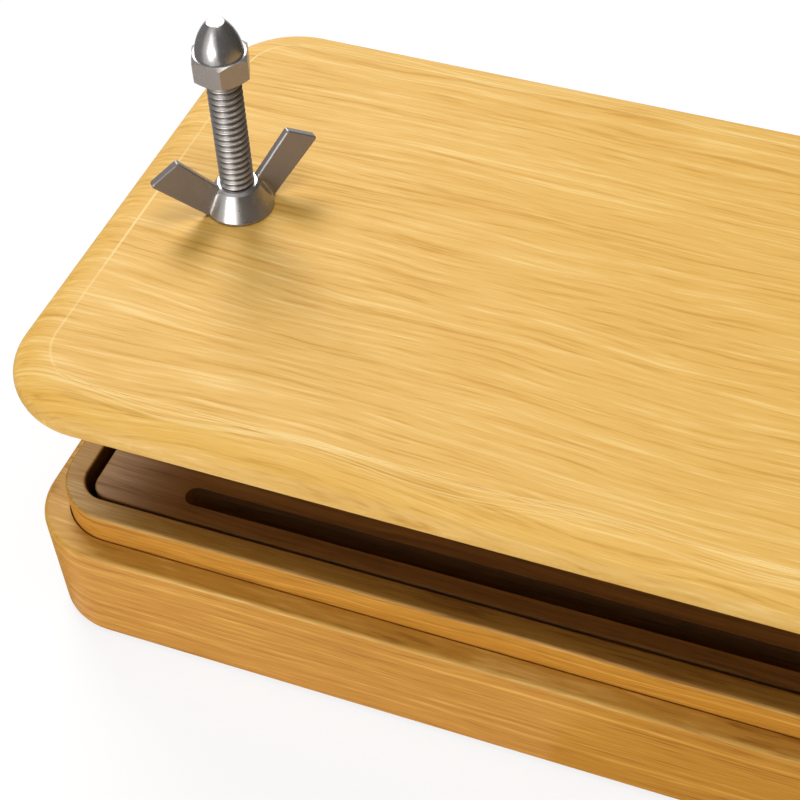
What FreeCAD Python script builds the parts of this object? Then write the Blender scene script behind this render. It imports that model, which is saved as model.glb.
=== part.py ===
"""Screw-down tofu press: a slotted press deck in a wooden tray, with a clamping board on two bolts."""

import FreeCAD, Part
import math
import os
import Sketcher

# Driving dimensions, in millimetres and degrees.
DIMENSIONS = {
    # Drip tray: the tall wooden base.
    "base_length": 273.8,
    "base_width": 166.6,
    "base_height": 34.4,
    "base_corner": 21.0,
    "base_edge_round": 1.2,
    "floor_thickness": 8.0,
    "floor_round": 4.0,
    # Rim frame, which stands in a rebate of the tray.
    "ledge_width": 6.6,
    "rim_clearance": 0.4,
    "rim_wall": 6.4,
    "rim_height": 9.1,
    "rim_corner": 16.3,
    "recess_corner": 7.5,
    "rim_round": 0.9,
    "rim_seat_depth": 12.0,
    # Non-slip feet, let into the underside of the tray.
    "foot_diameter": 14.0,
    "foot_height": 3.5,
    "foot_stand": 1.5,
    "foot_inset": 21.0,
    "foot_clearance": 0.2,
    "foot_edge": 0.5,
    # Slotted drain board and the two rails under it.
    "drain_gap": 2.0,
    "drain_drop": 2.3,
    "drain_thickness": 9.0,
    "drain_corner": 5.5,
    "drain_edge": 0.6,
    "slot_width": 6.0,
    "slot_margin": 25.0,
    "slot_pitch": 24.0,
    "slot_count": 6,
    "rail_width": 18.0,
    "rail_height": 8.0,
    "rail_edge": 1.0,
    # Press bolts with their nuts and washers.
    "bolt_spacing": 204.0,
    "bolt_diameter": 9.0,
    "bolt_tip_chamfer": 1.0,
    "bolt_engagement": 9.0,
    "bolt_hole": 9.5,
    "thread_bore": 9.1,
    "across_flats": 13.6,
    "bolt_head_height": 5.3,
    "lock_nut_height": 6.5,
    "crown_margin": 0.1,
    "washer_diameter": 16.0,
    "washer_thickness": 1.6,
    # Press board.
    "board_length": 271.5,
    "board_width": 164.4,
    "board_thickness": 12.0,
    "board_corner": 24.1,
    "board_hole": 10.0,
    "board_hole_chamfer": 0.6,
    "press_opening": 35.9,
    "edge_inset": 10.2,
    "edge_step": 0.15,
    "edge_level": 5.8,
    "edge_nose_radius": 4.0,
    "under_edge_radius": 5.6,
    # Wing nut.
    "hub_base_diameter": 18.2,
    "hub_band": 0.9,
    "hub_foot_bevel": 0.5,
    "hub_top_diameter": 12.0,
    "hub_height": 8.2,
    "hub_round": 0.7,
    "wing_foot_reach": 9.4,
    "wing_foot_rise": 0.5,
    "wing_tip_reach": 23.1,
    "wing_tip_rise": 15.2,
    "wing_top_reach": 15.0,
    "wing_top_rise": 20.0,
    "wing_neck_reach": 5.0,
    "wing_neck_rise": 8.0,
    "wing_thickness": 2.2,
    "wing_corner": 0.9,
    "wing_bevel": 0.3,
    "wing_root_radius": 1.6,
    # Acorn nut.
    "acorn_level": 42.0,
    "acorn_hex_height": 6.5,
    "acorn_height": 15.0,
    "acorn_dome_diameter": 12.4,
    "acorn_dome_lean": 5.0,
    "acorn_tip_diameter": 4.7,
    "acorn_tip_round": 0.3,
    "dome_overlap": 1.0,
    # How far the outline of a turned or swept cut runs past the piece.
    "waste_margin": 2.0,
    # How far each threaded piece happens to be turned about its own bolt.
    "left_wing_turn": 45.0,
    "right_wing_turn": 152.0,
    "left_acorn_turn": 54.2,
    "right_acorn_turn": 47.0,
    "left_lock_nut_turn": 11.0,
    "right_lock_nut_turn": 38.0,
}

# Heights above the floor, each as an expression on the sheet.
D = "Dimensions."
LEDGE_LEVEL = f"({D}foot_stand + {D}base_height)"
RIM_LEVEL = f"({LEDGE_LEVEL} + {D}rim_height)"
RIM_SEAT_LEVEL = f"({LEDGE_LEVEL} - {D}rim_seat_depth)"
DRAIN_LEVEL = f"({RIM_LEVEL} - {D}drain_drop)"
RAIL_LEVEL = f"({DRAIN_LEVEL} - {D}drain_thickness - {D}rail_height)"
BOLT_HEAD_LEVEL = f"({RAIL_LEVEL} - {D}washer_thickness - {D}bolt_head_height)"
BOARD_LEVEL = f"({RIM_LEVEL} + {D}press_opening)"
BOARD_TOP_LEVEL = f"({BOARD_LEVEL} + {D}board_thickness)"
ACORN_LEVEL = f"({BOARD_TOP_LEVEL} + {D}acorn_level)"

# Plan sizes that several pieces share.
RIM_LENGTH = f"({D}base_length - 2 * {D}ledge_width)"
RIM_WIDTH = f"({D}base_width - 2 * {D}ledge_width)"
RECESS_LENGTH = f"({RIM_LENGTH} - 2 * {D}rim_wall)"
RECESS_WIDTH = f"({RIM_WIDTH} - 2 * {D}rim_wall)"
DRAIN_LENGTH = f"({RECESS_LENGTH} - 2 * {D}drain_gap)"
DRAIN_WIDTH = f"({RECESS_WIDTH} - 2 * {D}drain_gap)"

SIDES = {"left": -1, "right": 1}
ENDS = {"front": -1, "back": 1}

doc = FreeCAD.newDocument("TofuPress")
pieces = []


def make_sheet():
    sheet = doc.addObject("Spreadsheet::Sheet", "Dimensions")
    for row, (alias, value) in enumerate(DIMENSIONS.items(), start=1):
        sheet.set(f"A{row}", alias.replace("_", " "))
        sheet.set(f"B{row}", str(value))
        sheet.setAlias(f"B{row}", alias)
    doc.recompute()
    return sheet


def size(alias):
    """The value that the sheet holds for one alias."""
    return float(getattr(sheet, alias))


# ---------------------------------------------------------------- bodies and sketches

def new_body(label, x="0", y="0", z="0", turn=None):
    """A body with its own label, placed by expressions on the sheet."""
    body = doc.addObject("PartDesign::Body", label)
    body.Label = label
    body.setExpression("Placement.Base.x", x)
    body.setExpression("Placement.Base.y", y)
    body.setExpression("Placement.Base.z", z)
    if turn:
        body.Placement.Rotation = FreeCAD.Rotation(FreeCAD.Vector(0, 0, 1), size(turn))
    pieces.append(body)
    return body


def origin_feature(body, role):
    return next(feature for feature in body.Origin.OriginFeatures if feature.Role == role)


def new_sketch(body, name, plane="XY_Plane", height=None):
    """A sketch on one of the body's own origin planes, raised by an expression."""
    sketch = body.newObject("Sketcher::SketchObject", name)
    sketch.AttachmentSupport = (origin_feature(body, plane), [""])
    sketch.MapMode = "FlatFace"
    if height:
        sketch.setExpression("AttachmentOffset.Base.z", height)
    return sketch


def drive(sketch, name, constraint, expression):
    """Adds a named dimension to a sketch and binds it to the sheet."""
    index = sketch.addConstraint(constraint)
    sketch.renameConstraint(index, name)
    sketch.setExpression(f"Constraints.{name}", expression)


def add_line(sketch, start, end):
    return sketch.addGeometry(Part.LineSegment(FreeCAD.Vector(*start, 0), FreeCAD.Vector(*end, 0)))


def add_circle(sketch, radius, centre=(0, 0), construction=False):
    circle = Part.Circle(FreeCAD.Vector(*centre, 0), FreeCAD.Vector(0, 0, 1), radius)
    return sketch.addGeometry(circle, construction)


def add_arc(sketch, centre, radius, first, last):
    """An arc from one angle to another, in degrees from the sketch's X axis."""
    circle = Part.Circle(FreeCAD.Vector(*centre, 0), FreeCAD.Vector(0, 0, 1), radius)
    return sketch.addGeometry(Part.ArcOfCircle(circle, math.radians(first), math.radians(last)))


def angle_of(across, rise):
    """The direction of a point from the origin, in degrees from the X axis."""
    return math.degrees(math.atan2(rise, across))


def sheet_value(expression):
    """Works an expression out on the sheet, for a sketch's first shape."""
    answer = sheet.evalExpression(expression)
    return float(getattr(answer, "Value", answer))


def circle_sketch(body, name, diameter, height=None, centre_x=None, centre_y=None):
    """A circle about the origin, or about a centre given by expressions."""
    sketch = new_sketch(body, name, height=height)
    centre = (sheet_value(centre_x or "0"), sheet_value(centre_y or "0"))
    circle = add_circle(sketch, sheet_value(diameter) / 2, centre)
    drive(sketch, "diameter", Sketcher.Constraint("Diameter", circle, sheet_value(diameter)), diameter)
    if centre_x:
        drive(sketch, "centre_x", Sketcher.Constraint("DistanceX", -1, 1, circle, 3, centre[0]), centre_x)
    if centre_y:
        drive(sketch, "centre_y", Sketcher.Constraint("DistanceY", -1, 1, circle, 3, centre[1]), centre_y)
    if not centre_x and not centre_y:
        sketch.addConstraint(Sketcher.Constraint("Coincident", circle, 3, -1, 1))
    elif not centre_y:
        sketch.addConstraint(Sketcher.Constraint("PointOnObject", circle, 3, -1))
    return sketch


def rounded_rectangle(body, name, length, width, radius, height=None):
    """A centred rectangle whose four corners are tangent arcs."""
    sketch = new_sketch(body, name, height=height)
    half_x, half_y, corner = sheet_value(length) / 2, sheet_value(width) / 2, sheet_value(radius)
    inner_x, inner_y = half_x - corner, half_y - corner
    lines = [
        add_line(sketch, (-inner_x, -half_y), (inner_x, -half_y)),
        add_line(sketch, (half_x, -inner_y), (half_x, inner_y)),
        add_line(sketch, (inner_x, half_y), (-inner_x, half_y)),
        add_line(sketch, (-half_x, inner_y), (-half_x, -inner_y)),
    ]
    arcs = [
        add_arc(sketch, (inner_x, -inner_y), corner, -90, 0),
        add_arc(sketch, (inner_x, inner_y), corner, 0, 90),
        add_arc(sketch, (-inner_x, inner_y), corner, 90, 180),
        add_arc(sketch, (-inner_x, -inner_y), corner, 180, 270),
    ]
    for index in range(4):
        after = lines[(index + 1) % 4]
        sketch.addConstraint(Sketcher.Constraint("Tangent", lines[index], 2, arcs[index], 1))
        sketch.addConstraint(Sketcher.Constraint("Tangent", arcs[index], 2, after, 1))
    for arc in arcs[1:]:
        sketch.addConstraint(Sketcher.Constraint("Equal", arcs[0], arc))
    bottom, right, top, left = lines
    sketch.addConstraint(Sketcher.Constraint("Horizontal", top))
    sketch.addConstraint(Sketcher.Constraint("Vertical", right))
    sketch.addConstraint(Sketcher.Constraint("Symmetric", bottom, 1, bottom, 2, -2))
    sketch.addConstraint(Sketcher.Constraint("Symmetric", left, 1, left, 2, -1))
    drive(sketch, "length", Sketcher.Constraint("DistanceX", left, 1, right, 1, 2 * half_x), length)
    drive(sketch, "width", Sketcher.Constraint("DistanceY", bottom, 1, top, 1, 2 * half_y), width)
    drive(sketch, "radius", Sketcher.Constraint("Radius", arcs[0], corner), radius)
    return sketch


def hexagon(body, name, height=None):
    """A regular hexagon about the origin, with two corners on the X axis."""
    sketch = new_sketch(body, name, height=height)
    across_corners = f"{D}across_flats / cos(30 deg)"
    reach = sheet_value(across_corners) / 2
    turns = [math.radians(60 * index) for index in range(6)]
    corners = [(reach * math.cos(turn), reach * math.sin(turn)) for turn in turns]
    sides = []
    for start, end in zip(corners, corners[1:] + corners[:1]):
        sides.append(add_line(sketch, start, end))
    outer = add_circle(sketch, reach, construction=True)
    for side, after in zip(sides, sides[1:] + sides[:1]):
        sketch.addConstraint(Sketcher.Constraint("Coincident", side, 2, after, 1))
        sketch.addConstraint(Sketcher.Constraint("PointOnObject", side, 1, outer))
    for side in sides[1:]:
        sketch.addConstraint(Sketcher.Constraint("Equal", sides[0], side))
    sketch.addConstraint(Sketcher.Constraint("Coincident", outer, 3, -1, 1))
    sketch.addConstraint(Sketcher.Constraint("PointOnObject", sides[0], 1, -1))
    drive(sketch, "across_corners", Sketcher.Constraint("Diameter", outer, 2 * reach), across_corners)
    return sketch


# ---------------------------------------------------------------- features

def pad(body, sketch, length, name, midplane=False):
    feature = body.newObject("PartDesign::Pad", name)
    feature.Profile = sketch
    feature.setExpression("Length", length)
    feature.Midplane = midplane
    return feature


def pocket(body, sketch, length, name, upwards=False):
    """Cuts a sketch's area down from its plane, or up from it."""
    feature = body.newObject("PartDesign::Pocket", name)
    feature.Profile = sketch
    feature.setExpression("Length", length)
    feature.Reversed = upwards
    return feature


def revolve(body, sketch, name, cut=False):
    kind = "PartDesign::Groove" if cut else "PartDesign::Revolution"
    feature = body.newObject(kind, name)
    feature.Profile = sketch
    feature.ReferenceAxis = (sketch, ["V_Axis"])
    feature.Angle = 360.0
    return feature


def edges_where(feature, test):
    """Names of the edges whose bounding box passes a test."""
    names = []
    for index, edge in enumerate(feature.Shape.Edges, start=1):
        if test(edge.BoundBox):
            names.append(f"Edge{index}")
    return names


def near(value, target):
    """Whether two lengths agree to a thousandth of a millimetre."""
    return abs(value - target) < 0.001


def flat_at(level):
    """A test for edges that lie wholly in one horizontal plane."""
    return lambda box: near(box.ZMin, level) and near(box.ZMax, level)


def dress(body, kind, base, test, amount, name):
    """A fillet or chamfer on the edges of a feature that pass a test."""
    doc.recompute()
    feature = body.newObject(f"PartDesign::{kind}", name)
    feature.Base = (base, edges_where(base, test))
    feature.setExpression("Radius" if kind == "Fillet" else "Size", amount)
    return feature


def polygon_profile(body, name, plane, corners):
    """A closed outline on an upright plane: each corner is (x expression, z expression, x, z)."""
    sketch = new_sketch(body, name, plane)
    points = [(corner[2], corner[3]) for corner in corners]
    sides = []
    for start, end in zip(points, points[1:] + points[:1]):
        sides.append(add_line(sketch, start, end))
    for side, after in zip(sides, sides[1:] + sides[:1]):
        sketch.addConstraint(Sketcher.Constraint("Coincident", side, 2, after, 1))
    for index, (side, corner) in enumerate(zip(sides, corners)):
        across = Sketcher.Constraint("DistanceX", -1, 1, side, 1, corner[2])
        rise = Sketcher.Constraint("DistanceY", -1, 1, side, 1, corner[3])
        drive(sketch, f"reach{index}", across, corner[0])
        drive(sketch, f"rise{index}", rise, corner[1])
    return sketch


def corner(reach, rise):
    """A profile corner whose two places are expressions, with their present values."""
    return (reach, rise, sheet_value(reach), sheet_value(rise))


def crown_cut(body, level, name, upwards):
    """Turns the corners of a hexagon down to a 30 degree crown on its top or bottom face."""
    direction = 1 if upwards else -1
    inner = f"({D}across_flats / 2 - {D}crown_margin)"
    outer = f"{D}across_flats"
    beyond = f"({level}) + {direction} * {D}waste_margin"
    slope_end = f"({level}) - {direction} * ({outer} - {inner}) * tan(30 deg)"
    profile = polygon_profile(body, f"{name}Profile", "XZ_Plane", [
        corner(inner, f"({level})"),
        corner(outer, slope_end),
        corner(outer, beyond),
        corner(inner, beyond),
    ])
    revolve(body, profile, name, cut=True)


# ---------------------------------------------------------------- wooden tray and rim

def make_base_tray():
    body = new_body("base_tray", z=f"{D}foot_stand")
    outline = rounded_rectangle(
        body, "TrayOutline", f"{D}base_length", f"{D}base_width", f"{D}base_corner")
    block = pad(body, outline, f"{D}base_height", "TrayBlock")
    dress(body, "Fillet", block, lambda box: near(box.ZLength, 0), f"{D}base_edge_round", "EasedEdges")
    rebate_plan = rounded_rectangle(
        body, "RebatePlan",
        f"{RIM_LENGTH} + 2 * {D}rim_clearance", f"{RIM_WIDTH} + 2 * {D}rim_clearance",
        f"{D}rim_corner + {D}rim_clearance", height=f"{D}base_height")
    pocket(body, rebate_plan, f"{D}rim_seat_depth", "RimRebate")
    cavity_plan = rounded_rectangle(
        body, "CavityPlan", RECESS_LENGTH, RECESS_WIDTH, f"{D}recess_corner",
        height=f"{D}base_height - {D}rim_seat_depth")
    cavity_depth = f"{D}base_height - {D}rim_seat_depth - {D}floor_thickness"
    cavity = pocket(body, cavity_plan, cavity_depth, "WaterCavity")
    dress(body, "Fillet", cavity, flat_at(size("floor_thickness")), f"{D}floor_round", "CavityFloorRound")
    seat_diameter = f"{D}foot_diameter + 2 * {D}foot_clearance"
    for corner_name, x_place, y_place in foot_places():
        plan = circle_sketch(
            body, f"SeatPlan_{corner_name}", seat_diameter, centre_x=x_place, centre_y=y_place)
        body.Tip = pocket(body, plan, f"{D}foot_height - {D}foot_stand", f"Seat_{corner_name}", upwards=True)


def make_rim_frame():
    body = new_body("rim_frame", z=RIM_SEAT_LEVEL)
    height = f"{D}rim_seat_depth + {D}rim_height"
    outline = rounded_rectangle(body, "RimOutline", RIM_LENGTH, RIM_WIDTH, f"{D}rim_corner")
    pad(body, outline, height, "RimBlock")
    opening = rounded_rectangle(
        body, "RimOpeningPlan", RECESS_LENGTH, RECESS_WIDTH, f"{D}recess_corner", height=height)
    ring = pocket(body, opening, height, "RimOpening")
    top = size("rim_seat_depth") + size("rim_height")
    ring = dress(body, "Fillet", ring, flat_at(top), f"{D}rim_round", "RimTopRound")
    body.Tip = ring


def foot_places():
    """The four corners' names, each with the expressions for its foot's centre."""
    for end, end_sign in ENDS.items():
        for side, side_sign in SIDES.items():
            x_place = f"{side_sign} * ({D}base_length / 2 - {D}foot_inset)"
            y_place = f"{end_sign} * ({D}base_width / 2 - {D}foot_inset)"
            yield f"{end}_{side}", x_place, y_place


def make_feet():
    for corner_name, x_place, y_place in foot_places():
        body = new_body(f"rubber_foot_{corner_name}", x=x_place, y=y_place)
        plan = circle_sketch(body, "FootPlan", f"{D}foot_diameter")
        disc = pad(body, plan, f"{D}foot_height", "FootDisc")
        body.Tip = dress(body, "Chamfer", disc, flat_at(0), f"{D}foot_edge", "FootEdge")


# ---------------------------------------------------------------- drain board and rails

def make_drain_board():
    body = new_body("drain_board", z=f"{DRAIN_LEVEL} - {D}drain_thickness")
    outline = rounded_rectangle(body, "DrainOutline", DRAIN_LENGTH, DRAIN_WIDTH, f"{D}drain_corner")
    board = pad(body, outline, f"{D}drain_thickness", "DrainBlock")
    dress(body, "Fillet", board, flat_at(size("drain_thickness")), f"{D}drain_edge", "DrainTopRound")
    run = f"{DRAIN_LENGTH} - 2 * {D}slot_margin - {D}slot_width"
    first_row = f"({D}slot_count - 1) * {D}slot_pitch / 2"
    half, row, radius = sheet_value(run) / 2, -sheet_value(first_row), size("slot_width") / 2
    slot_sketch = new_sketch(body, "SlotPlan", height=f"{D}drain_thickness")
    front = add_line(slot_sketch, (-half, row - radius), (half, row - radius))
    right = add_arc(slot_sketch, (half, row), radius, -90, 90)
    back = add_line(slot_sketch, (half, row + radius), (-half, row + radius))
    left = add_arc(slot_sketch, (-half, row), radius, 90, 270)
    loop = [front, right, back, left]
    for piece, after in zip(loop, loop[1:] + loop[:1]):
        slot_sketch.addConstraint(Sketcher.Constraint("Tangent", piece, 2, after, 1))
    slot_sketch.addConstraint(Sketcher.Constraint("Symmetric", front, 1, front, 2, -2))
    drive(slot_sketch, "run", Sketcher.Constraint("DistanceX", front, 1, front, 2, 2 * half), run)
    drive(slot_sketch, "end_radius", Sketcher.Constraint("Radius", right, radius), f"{D}slot_width / 2")
    drive(slot_sketch, "row", Sketcher.Constraint("DistanceY", right, 3, -1, 1, -row), first_row)
    slot = pocket(body, slot_sketch, f"{D}drain_thickness", "DrainSlot")
    rows = body.newObject("PartDesign::LinearPattern", "DrainSlots")
    rows.Originals = [slot]
    rows.Direction = (slot_sketch, ["V_Axis"])
    rows.setExpression("Length", f"({D}slot_count - 1) * {D}slot_pitch")
    rows.setExpression("Occurrences", f"{D}slot_count")
    body.Tip = rows
    bore_for_bolts(body, f"{D}drain_thickness", f"{D}bolt_hole")


def bore_for_bolts(body, thickness, diameter):
    """A hole for each bolt, from the top face down through a board; returns the last one."""
    for side, sign in SIDES.items():
        x_place = f"{sign} * {D}bolt_spacing / 2"
        plan = circle_sketch(
            body, f"{side.title()}HolePlan", diameter, height=thickness, centre_x=x_place)
        body.Tip = pocket(body, plan, thickness, f"{side.title()}Hole")
    return body.Tip


def make_cross_rails():
    for side, sign in SIDES.items():
        body = new_body(f"cross_rail_{side}", x=f"{sign} * {D}bolt_spacing / 2", z=RAIL_LEVEL)
        bar = body.newObject("PartDesign::AdditiveBox", "RailBar")
        bar.setExpression("Length", f"{D}rail_width")
        bar.setExpression("Width", RECESS_WIDTH)
        bar.setExpression("Height", f"{D}rail_height")
        bar.setExpression("Placement.Base.x", f"-{D}rail_width / 2")
        bar.setExpression("Placement.Base.y", f"-{RECESS_WIDTH} / 2")
        along_underside = lambda box: near(box.ZMax, 0) and box.YLength > size("rail_width")
        dress(body, "Chamfer", bar, along_underside, f"{D}rail_edge", "EasedUnderside")
        plan = circle_sketch(body, "RailHolePlan", f"{D}bolt_hole", height=f"{D}rail_height")
        body.Tip = pocket(body, plan, f"{D}rail_height", "RailHole")


# ---------------------------------------------------------------- bolts, nuts and washers

def make_press_bolt(side, x_place):
    body = new_body(f"press_bolt_{side}", x=x_place, z=BOLT_HEAD_LEVEL)
    pad(body, hexagon(body, "HeadPlan"), f"{D}bolt_head_height", "HexHead")
    crown_cut(body, "0", "HeadCrown", upwards=False)
    shank_plan = circle_sketch(body, "ShankPlan", f"{D}bolt_diameter")
    reach = f"{ACORN_LEVEL} + {D}bolt_engagement - {BOLT_HEAD_LEVEL}"
    shank = pad(body, shank_plan, reach, "Shank")
    doc.recompute()
    tip_level = shank.Shape.BoundBox.ZMax
    body.Tip = dress(body, "Chamfer", shank, flat_at(tip_level), f"{D}bolt_tip_chamfer", "TipChamfer")


def make_washer(label, x_place, level):
    body = new_body(label, x=x_place, z=level)
    pad(body, circle_sketch(body, "WasherPlan", f"{D}washer_diameter"), f"{D}washer_thickness", "Disc")
    hole_plan = circle_sketch(body, "HolePlan", f"{D}bolt_hole", height=f"{D}washer_thickness")
    body.Tip = pocket(body, hole_plan, f"{D}washer_thickness", "Hole")


def make_lock_nut(side, x_place):
    level = f"{DRAIN_LEVEL} + {D}washer_thickness"
    body = new_body(f"lock_nut_{side}", x=x_place, z=level, turn=f"{side}_lock_nut_turn")
    pad(body, hexagon(body, "NutPlan"), f"{D}lock_nut_height", "HexNut")
    crown_cut(body, "0", "LowerCrown", upwards=False)
    crown_cut(body, f"{D}lock_nut_height", "UpperCrown", upwards=True)
    bore_plan = circle_sketch(body, "BorePlan", f"{D}thread_bore", height=f"{D}lock_nut_height")
    body.Tip = pocket(body, bore_plan, f"{D}lock_nut_height", "Bore")


def make_acorn_nut(side, x_place):
    """A hexagon with a bullet-shaped dome, closed at the top."""
    body = new_body(f"acorn_nut_{side}", x=x_place, z=ACORN_LEVEL, turn=f"{side}_acorn_turn")
    pad(body, hexagon(body, "NutPlan"), f"{D}acorn_hex_height", "HexBase")
    crown_cut(body, "0", "LowerCrown", upwards=False)
    crown_cut(body, f"{D}acorn_hex_height", "UpperCrown", upwards=True)
    dome = new_sketch(body, "DomeProfile", "XZ_Plane")
    shoulder, tip_level = size("acorn_hex_height"), size("acorn_height")
    base_level, rise = shoulder - size("dome_overlap"), tip_level - shoulder
    dome_radius, tip_radius = size("acorn_dome_diameter") / 2, size("acorn_tip_diameter") / 2
    lean = math.radians(size("acorn_dome_lean"))
    shoulder_radius = dome_radius - size("dome_overlap") * math.tan(lean)
    taper = shoulder_radius - tip_radius
    arc_radius = (taper ** 2 + rise ** 2) / (2 * (taper * math.cos(lean) - rise * math.sin(lean)))
    arc_x, arc_y = shoulder_radius - arc_radius * math.cos(lean), shoulder - arc_radius * math.sin(lean)
    floor = add_line(dome, (0, base_level), (dome_radius, base_level))
    neck = add_line(dome, (dome_radius, base_level), (shoulder_radius, shoulder))
    arc_end = angle_of(tip_radius - arc_x, tip_level - arc_y)
    side_arc = add_arc(dome, (arc_x, arc_y), arc_radius, size("acorn_dome_lean"), arc_end)
    tip = add_line(dome, (tip_radius, tip_level), (0, tip_level))
    core = add_line(dome, (0, tip_level), (0, base_level))
    dome.addConstraint(Sketcher.Constraint("Coincident", floor, 2, neck, 1))
    dome.addConstraint(Sketcher.Constraint("Tangent", neck, 2, side_arc, 1))
    dome.addConstraint(Sketcher.Constraint("Coincident", side_arc, 2, tip, 1))
    dome.addConstraint(Sketcher.Constraint("Coincident", tip, 2, core, 1))
    dome.addConstraint(Sketcher.Constraint("Coincident", core, 2, floor, 1))
    for level_line in (floor, tip):
        dome.addConstraint(Sketcher.Constraint("Horizontal", level_line))
    dome.addConstraint(Sketcher.Constraint("Vertical", core))
    dome.addConstraint(Sketcher.Constraint("PointOnObject", core, 1, -2))
    drive(dome, "neck_angle", Sketcher.Constraint("Angle", neck, math.pi / 2 + lean),
          f"90 deg + {D}acorn_dome_lean * 1 deg")
    drive(dome, "dome_radius", Sketcher.Constraint("DistanceX", floor, 1, floor, 2, dome_radius),
          f"{D}acorn_dome_diameter / 2")
    drive(dome, "tip_radius", Sketcher.Constraint("DistanceX", tip, 2, tip, 1, tip_radius),
          f"{D}acorn_tip_diameter / 2")
    drive(dome, "floor_level", Sketcher.Constraint("DistanceY", -1, 1, floor, 1, base_level),
          f"{D}acorn_hex_height - {D}dome_overlap")
    drive(dome, "shoulder_level", Sketcher.Constraint("DistanceY", -1, 1, neck, 2, shoulder),
          f"{D}acorn_hex_height")
    drive(dome, "tip_level", Sketcher.Constraint("DistanceY", -1, 1, tip, 2, tip_level), f"{D}acorn_height")
    turned = revolve(body, dome, "Dome")
    dress(body, "Fillet", turned, flat_at(tip_level), f"{D}acorn_tip_round", "TipRound")
    bore_plan = circle_sketch(body, "BorePlan", f"{D}thread_bore")
    body.Tip = pocket(body, bore_plan, f"{D}bolt_engagement + {D}dome_overlap", "BlindBore", upwards=True)


def make_wing_nut(side, x_place):
    """Two flat wings cut from one plate, which a turned conical hub grips in the middle."""
    body = new_body(f"wing_nut_{side}", x=x_place, z=BOARD_TOP_LEVEL, turn=f"{side}_wing_turn")
    right_wing = [
        (f"{D}wing_foot_reach", f"{D}wing_foot_rise"),
        (f"{D}wing_tip_reach", f"{D}wing_tip_rise"),
        (f"{D}wing_top_reach", f"{D}wing_top_rise"),
        (f"{D}wing_neck_reach", f"{D}wing_neck_rise"),
    ]
    left_wing = [(f"-{reach}", rise) for reach, rise in reversed(right_wing)]
    outline = [corner(reach, rise) for reach, rise in right_wing + left_wing]
    plate = pad(
        body, polygon_profile(body, "WingProfile", "XZ_Plane", outline),
        f"{D}wing_thickness", "WingPlate", midplane=True)
    at_tip = lambda box: near(box.ZLength, 0) and box.ZMin > size("wing_neck_rise") and near(box.XLength, 0)
    rounded = dress(body, "Fillet", plate, at_tip, f"{D}wing_corner", "WingCorners")
    half = size("wing_thickness") / 2
    on_face = lambda box: near(box.YLength, 0) and near(abs(box.YMin), half)
    dress(body, "Chamfer", rounded, on_face, f"{D}wing_bevel", "WingBevels")
    hub_profile = polygon_profile(body, "HubProfile", "XZ_Plane", [
        corner("0", "0"),
        corner(f"{D}hub_base_diameter / 2 - {D}hub_foot_bevel", "0"),
        corner(f"{D}hub_base_diameter / 2", f"{D}hub_foot_bevel"),
        corner(f"{D}hub_base_diameter / 2", f"{D}hub_band"),
        corner(f"{D}hub_top_diameter / 2", f"{D}hub_height - {D}hub_round"),
        corner(f"{D}hub_top_diameter / 2 - {D}hub_round", f"{D}hub_height"),
        corner("0", f"{D}hub_height"),
    ])
    hub = revolve(body, hub_profile, "Hub")
    slant = size("hub_height") - size("hub_round") - size("hub_band")
    at_root = lambda box: on_face(box) and near(box.ZMin, size("hub_band")) and near(box.ZLength, slant)
    dress(body, "Fillet", hub, at_root, f"{D}wing_root_radius", "WingRoots")
    bore_plan = circle_sketch(body, "BorePlan", f"{D}thread_bore", height=f"{D}wing_top_rise")
    body.Tip = pocket(body, bore_plan, f"{D}wing_top_rise", "Bore")


def make_hardware():
    for side, sign in SIDES.items():
        x_place = f"{sign} * {D}bolt_spacing / 2"
        make_press_bolt(side, x_place)
        make_washer(f"head_washer_{side}", x_place, f"{RAIL_LEVEL} - {D}washer_thickness")
        make_washer(f"deck_washer_{side}", x_place, DRAIN_LEVEL)
        make_lock_nut(side, x_place)
        make_acorn_nut(side, x_place)
        make_wing_nut(side, x_place)


# ---------------------------------------------------------------- press board

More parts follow.
